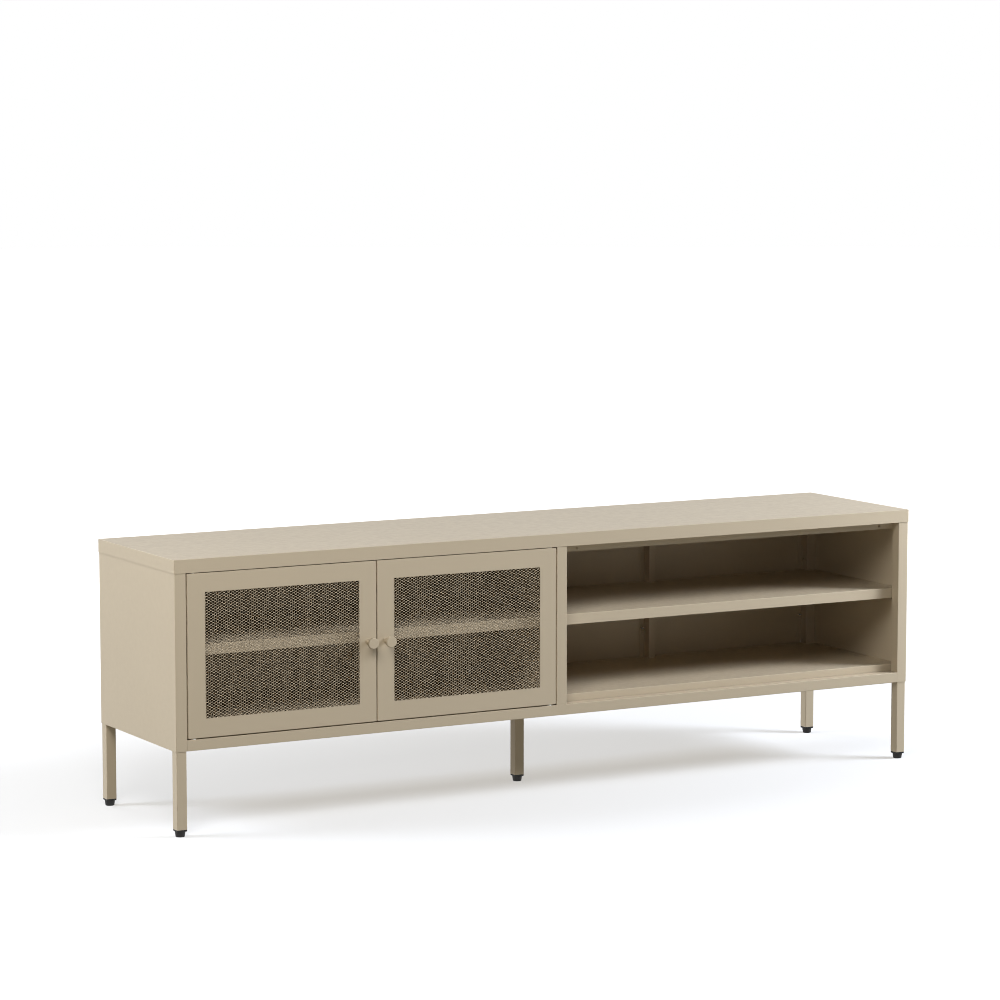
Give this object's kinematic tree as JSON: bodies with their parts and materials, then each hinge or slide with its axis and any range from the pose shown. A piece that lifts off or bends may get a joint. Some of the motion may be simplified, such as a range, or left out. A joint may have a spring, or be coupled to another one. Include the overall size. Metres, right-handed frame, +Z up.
{
  "type": "tv stand",
  "caption": "Low sheet-steel TV stand on tube legs, one bay behind two expanded-metal doors and one open bay, each with a shelf.",
  "frame": {"origin": "on the floor, under the middle of the whole outline with the knobs", "axes": "+X to the right as seen from the front, -Y out of the doors, +Z up from the floor"},
  "size_m": [1.6, 0.374, 0.505],
  "materials": {
    "frame_beige": "matt powder coat, fine texture",
    "black_plastic": "moulded, satin",
    "white_nylon": "natural nylon",
    "zinc_steel": "bright zinc plate",
    "magnet_nickel": "nickel plate"
  },
  "bodies": {
    "stand": {"back_panel_1": "frame_beige", "back_panel_2": "frame_beige", "back_panel_3": "frame_beige", "back_panel_4": "frame_beige", "back_panel_screws": "zinc_steel", "bottom_front_rail": "frame_beige", "bottom_rear_rail": "frame_beige", "centre_cross_rail": "frame_beige", "centre_divider": "frame_beige", "centre_leg_screws": "zinc_steel", "door_magnets": "magnet_nickel", "floor_tray_left": "frame_beige", "floor_tray_right": "frame_beige", "foot_insert_centre": "black_plastic", "foot_insert_front_left": "black_plastic", "foot_insert_front_right": "black_plastic", "foot_insert_rear_left": "black_plastic", "foot_insert_rear_right": "black_plastic", "hinge_pins": "zinc_steel", "left_side_panel": "frame_beige", "leg_centre": "frame_beige", "leg_front_left": "frame_beige", "leg_front_right": "frame_beige", "leg_rear_left": "frame_beige", "leg_rear_right": "frame_beige", "leg_screws": "zinc_steel", "rail_screws": "zinc_steel", "rear_post_left": "frame_beige", "rear_post_right": "frame_beige", "right_side_panel": "frame_beige", "shelf_left": "frame_beige", "shelf_pegs": "zinc_steel", "shelf_right": "frame_beige", "top_front_rail_left": "frame_beige", "top_front_rail_right": "frame_beige", "top_panel": "frame_beige", "top_rear_rail_left": "frame_beige", "top_rear_rail_right": "frame_beige", "top_screws": "zinc_steel", "top_stiffener_left": "frame_beige", "top_stiffener_right": "frame_beige", "top_weld_nuts": "zinc_steel"},
    "left_door": {"door_frame_left": "frame_beige", "door_mesh_left": "frame_beige", "hinge_bushes_left": "white_nylon", "door_knob_left": "frame_beige", "knob_screw_left": "zinc_steel"},
    "right_door": {"door_frame_right": "frame_beige", "door_mesh_right": "frame_beige", "hinge_bushes_right": "white_nylon", "door_knob_right": "frame_beige", "knob_screw_right": "zinc_steel"},
    "front_left_foot": {"glide_front_left": "black_plastic"},
    "front_right_foot": {"glide_front_right": "black_plastic"},
    "rear_left_foot": {"glide_rear_left": "black_plastic"},
    "rear_right_foot": {"glide_rear_right": "black_plastic"},
    "centre_foot": {"glide_centre": "black_plastic"}
  },
  "joints": [
    {"name": "left_door_hinge", "type": "hinge", "parent": "stand", "child": "left_door", "pos_m": [-0.7628, -0.157, 0.3285], "axis": [0, 0, -1], "range_deg": [0, 110]},
    {"name": "right_door_hinge", "type": "hinge", "parent": "stand", "child": "right_door", "pos_m": [-0.0252, -0.157, 0.3285], "axis": [0, 0, 1], "range_deg": [0, 110]},
    {"name": "front_left_foot_levelling", "type": "slide", "parent": "stand", "child": "front_left_foot", "axis": [0, 0, 1], "range_m": [-0.01, 0]},
    {"name": "front_right_foot_levelling", "type": "slide", "parent": "stand", "child": "front_right_foot", "axis": [0, 0, 1], "range_m": [-0.01, 0]},
    {"name": "rear_left_foot_levelling", "type": "slide", "parent": "stand", "child": "rear_left_foot", "axis": [0, 0, 1], "range_m": [-0.01, 0]},
    {"name": "rear_right_foot_levelling", "type": "slide", "parent": "stand", "child": "rear_right_foot", "axis": [0, 0, 1], "range_m": [-0.01, 0]},
    {"name": "centre_foot_levelling", "type": "slide", "parent": "stand", "child": "centre_foot", "axis": [0, 0, 1], "range_m": [-0.01, 0]}
  ]
}
